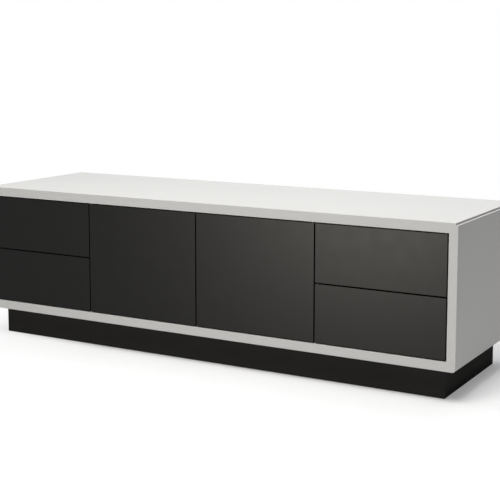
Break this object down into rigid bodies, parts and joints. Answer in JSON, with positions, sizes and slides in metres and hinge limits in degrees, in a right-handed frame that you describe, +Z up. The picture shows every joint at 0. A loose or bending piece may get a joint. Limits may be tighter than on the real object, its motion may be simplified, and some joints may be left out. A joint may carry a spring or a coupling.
{
  "type": "credenza",
  "caption": "Low credenza on a recessed plinth: a light frame round dark flush push-to-open fronts, with full-extension drawers at both ends and a double-door media bay with a shelf.",
  "frame": {"origin": "on the floor, under the middle of the credenza", "axes": "+X along the front to the viewer's right, +Y from the front to the back, +Z up"},
  "size_m": [1.6, 0.488, 0.484],
  "materials": {
    "frame": "satin lacquer on board",
    "inside": "matt melamine on board",
    "fronts": "satin lacquer on board",
    "plinth": "matt black foil on board",
    "beech": "planed beech",
    "black_plastic": "fine moulded grain",
    "grey_plastic": "fine moulded grain",
    "steel": "bright zinc plated",
    "dark_steel": "black oxide",
    "drawer_box": "matt melamine on board",
    "bearing_steel": "polished balls in a pressed cage"
  },
  "bodies": {
    "root": {"top_plate": "frame", "top_panel": "frame", "bottom_panel": "frame", "left_side_panel": "frame", "right_side_panel": "frame", "left_partition": "inside", "right_partition": "inside", "middle_back_panel": "inside", "outer_back_panels": "inside", "shelf": "inside", "plinth_front_board": "plinth", "plinth_back_board": "plinth", "plinth_end_boards": "plinth", "plinth_braces": "plinth", "partition_dowels": "beech", "glide_blocks": "beech", "cable_grommets": "black_plastic", "levelling_glides": "black_plastic", "door_pivot_bushes": "black_plastic", "latch_housings": "grey_plastic", "shelf_pins": "steel", "runner_cabinet_members": "steel"},
    "left_door": {"left_door": "fronts", "left_door_pivots": "dark_steel"},
    "right_door": {"right_door": "fronts", "right_door_pivots": "dark_steel"},
    "left_latch_plunger": {"left_latch_plunger": "black_plastic"},
    "right_latch_plunger": {"right_latch_plunger": "black_plastic"},
    "upper_left_drawer": {"upper_left_drawer_front": "fronts", "upper_left_box_sides": "drawer_box", "upper_left_box_ends": "drawer_box", "upper_left_box_bottom": "drawer_box", "upper_left_drawer_members": "steel"},
    "upper_left_middle": {"upper_left_middle_members": "steel"},
    "upper_left_outer_cages": {"upper_left_outer_cages": "bearing_steel"},
    "upper_left_inner_cages": {"upper_left_inner_cages": "bearing_steel"},
    "upper_right_drawer": {"upper_right_drawer_front": "fronts", "upper_right_box_sides": "drawer_box", "upper_right_box_ends": "drawer_box", "upper_right_box_bottom": "drawer_box", "upper_right_drawer_members": "steel"},
    "upper_right_middle": {"upper_right_middle_members": "steel"},
    "upper_right_outer_cages": {"upper_right_outer_cages": "bearing_steel"},
    "upper_right_inner_cages": {"upper_right_inner_cages": "bearing_steel"},
    "lower_left_drawer": {"lower_left_drawer_front": "fronts", "lower_left_box_sides": "drawer_box", "lower_left_box_ends": "drawer_box", "lower_left_box_bottom": "drawer_box", "lower_left_drawer_members": "steel"},
    "lower_left_middle": {"lower_left_middle_members": "steel"},
    "lower_left_outer_cages": {"lower_left_outer_cages": "bearing_steel"},
    "lower_left_inner_cages": {"lower_left_inner_cages": "bearing_steel"},
    "lower_right_drawer": {"lower_right_drawer_front": "fronts", "lower_right_box_sides": "drawer_box", "lower_right_box_ends": "drawer_box", "lower_right_box_bottom": "drawer_box", "lower_right_drawer_members": "steel"},
    "lower_right_middle": {"lower_right_middle_members": "steel"},
    "lower_right_outer_cages": {"lower_right_outer_cages": "bearing_steel"},
    "lower_right_inner_cages": {"lower_right_inner_cages": "bearing_steel"}
  },
  "joints": [
    {"name": "left_door_hinge", "type": "hinge", "parent": "root", "child": "left_door", "pos_m": [-0.37875, -0.238, 0.28575], "axis": [0, 0, -1], "range_deg": [0, 90]},
    {"name": "right_door_hinge", "type": "hinge", "parent": "root", "child": "right_door", "pos_m": [0.37875, -0.238, 0.28575], "axis": [0, 0, 1], "range_deg": [0, 90]},
    {"name": "left_latch_press", "type": "slide", "parent": "root", "child": "left_latch_plunger", "axis": [0, 1, 0], "range_m": [0, 0.0025], "stiffness_N_per_m": 400},
    {"name": "right_latch_press", "type": "slide", "parent": "root", "child": "right_latch_plunger", "axis": [0, 1, 0], "range_m": [0, 0.0025], "stiffness_N_per_m": 400},
    {"name": "upper_left_drawer_slide", "type": "slide", "parent": "root", "child": "upper_left_drawer", "axis": [0, -1, 0], "range_m": [0, 0.4]},
    {"name": "upper_left_middle_slide", "type": "slide", "parent": "root", "child": "upper_left_middle", "axis": [0, -1, 0], "range_m": [0, 0.2]},
    {"name": "upper_left_outer_cages_slide", "type": "slide", "parent": "root", "child": "upper_left_outer_cages", "axis": [0, -1, 0], "range_m": [0, 0.1]},
    {"name": "upper_left_inner_cages_slide", "type": "slide", "parent": "root", "child": "upper_left_inner_cages", "axis": [0, -1, 0], "range_m": [0, 0.3]},
    {"name": "upper_right_drawer_slide", "type": "slide", "parent": "root", "child": "upper_right_drawer", "axis": [0, -1, 0], "range_m": [0, 0.4]},
    {"name": "upper_right_middle_slide", "type": "slide", "parent": "root", "child": "upper_right_middle", "axis": [0, -1, 0], "range_m": [0, 0.2]},
    {"name": "upper_right_outer_cages_slide", "type": "slide", "parent": "root", "child": "upper_right_outer_cages", "axis": [0, -1, 0], "range_m": [0, 0.1]},
    {"name": "upper_right_inner_cages_slide", "type": "slide", "parent": "root", "child": "upper_right_inner_cages", "axis": [0, -1, 0], "range_m": [0, 0.3]},
    {"name": "lower_left_drawer_slide", "type": "slide", "parent": "root", "child": "lower_left_drawer", "axis": [0, -1, 0], "range_m": [0, 0.4]},
    {"name": "lower_left_middle_slide", "type": "slide", "parent": "root", "child": "lower_left_middle", "axis": [0, -1, 0], "range_m": [0, 0.2]},
    {"name": "lower_left_outer_cages_slide", "type": "slide", "parent": "root", "child": "lower_left_outer_cages", "axis": [0, -1, 0], "range_m": [0, 0.1]},
    {"name": "lower_left_inner_cages_slide", "type": "slide", "parent": "root", "child": "lower_left_inner_cages", "axis": [0, -1, 0], "range_m": [0, 0.3]},
    {"name": "lower_right_drawer_slide", "type": "slide", "parent": "root", "child": "lower_right_drawer", "axis": [0, -1, 0], "range_m": [0, 0.4]},
    {"name": "lower_right_middle_slide", "type": "slide", "parent": "root", "child": "lower_right_middle", "axis": [0, -1, 0], "range_m": [0, 0.2]},
    {"name": "lower_right_outer_cages_slide", "type": "slide", "parent": "root", "child": "lower_right_outer_cages", "axis": [0, -1, 0], "range_m": [0, 0.1]},
    {"name": "lower_right_inner_cages_slide", "type": "slide", "parent": "root", "child": "lower_right_inner_cages", "axis": [0, -1, 0], "range_m": [0, 0.3]}
  ],
  "couplings": [
    {"joint": "upper_left_middle_slide", "follows": "upper_left_drawer_slide", "ratio": 0.5},
    {"joint": "upper_left_outer_cages_slide", "follows": "upper_left_drawer_slide", "ratio": 0.25},
    {"joint": "upper_left_inner_cages_slide", "follows": "upper_left_drawer_slide", "ratio": 0.75},
    {"joint": "upper_right_middle_slide", "follows": "upper_right_drawer_slide", "ratio": 0.5},
    {"joint": "upper_right_outer_cages_slide", "follows": "upper_right_drawer_slide", "ratio": 0.25},
    {"joint": "upper_right_inner_cages_slide", "follows": "upper_right_drawer_slide", "ratio": 0.75},
    {"joint": "lower_left_middle_slide", "follows": "lower_left_drawer_slide", "ratio": 0.5},
    {"joint": "lower_left_outer_cages_slide", "follows": "lower_left_drawer_slide", "ratio": 0.25},
    {"joint": "lower_left_inner_cages_slide", "follows": "lower_left_drawer_slide", "ratio": 0.75},
    {"joint": "lower_right_middle_slide", "follows": "lower_right_drawer_slide", "ratio": 0.5},
    {"joint": "lower_right_outer_cages_slide", "follows": "lower_right_drawer_slide", "ratio": 0.25},
    {"joint": "lower_right_inner_cages_slide", "follows": "lower_right_drawer_slide", "ratio": 0.75}
  ]
}
